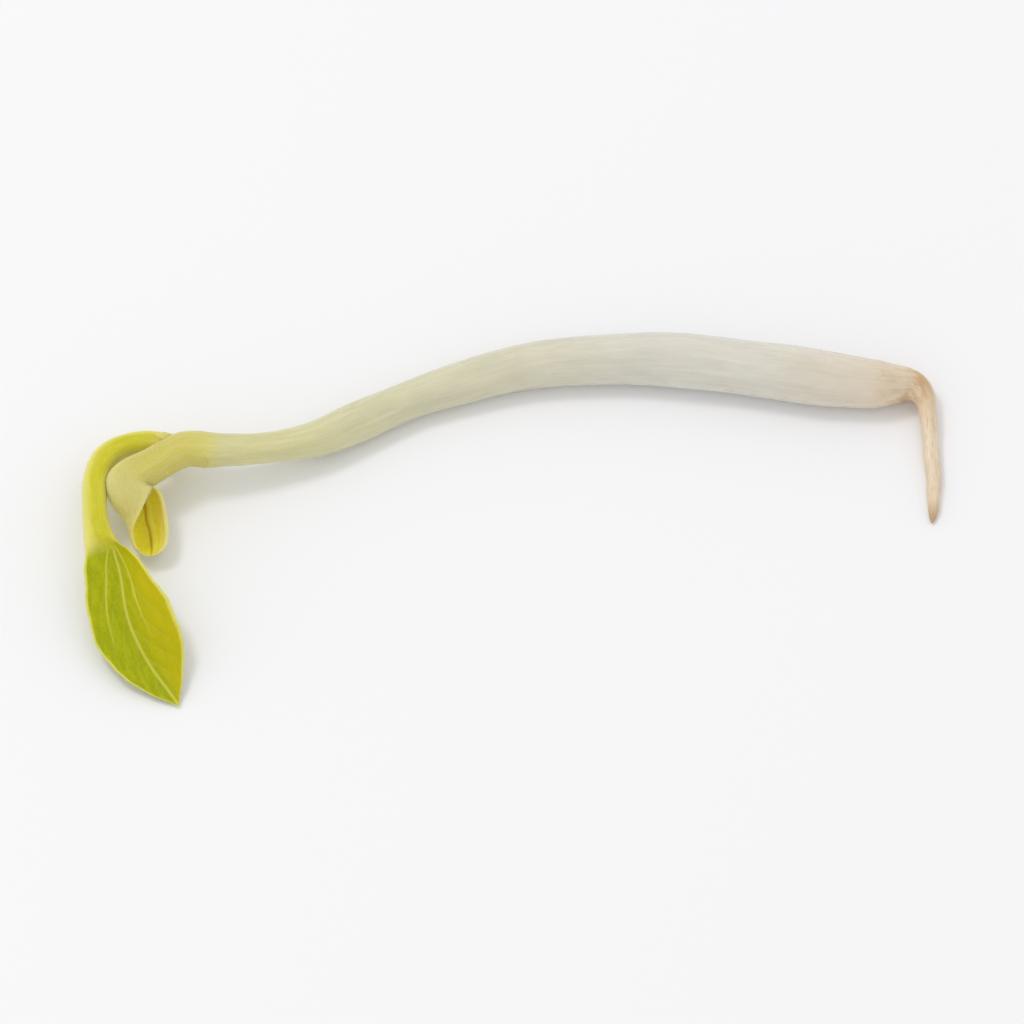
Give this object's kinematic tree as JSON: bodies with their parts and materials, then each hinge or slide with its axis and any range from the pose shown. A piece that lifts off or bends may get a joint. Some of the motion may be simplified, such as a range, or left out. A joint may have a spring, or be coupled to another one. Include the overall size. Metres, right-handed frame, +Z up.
{
  "type": "mung bean sprout",
  "caption": "Single mung bean sprout lying as picked: white juicy stem, bent tan root, short yellow-green epicotyl, an open lime-green leaf and a folded leaf.",
  "frame": {"origin": "on the surface that the sprout lies on, under the middle of its box", "axes": "+X along the white stem from the leaves to the root, +Z up from the surface, leaves and root reach towards -Y"},
  "size_m": [0.05, 0.0242, 0.0038],
  "materials": {
    "root": "satin",
    "white_stem": "satin",
    "epicotyl": "satin",
    "open_leaf": "satin",
    "folded_leaf": "satin"
  },
  "bodies": {
    "root": {"primary_root": "root", "hypocotyl": "white_stem", "epicotyl": "epicotyl", "open_primary_leaf": "open_leaf", "folded_primary_leaf": "folded_leaf"}
  },
  "joints": []
}
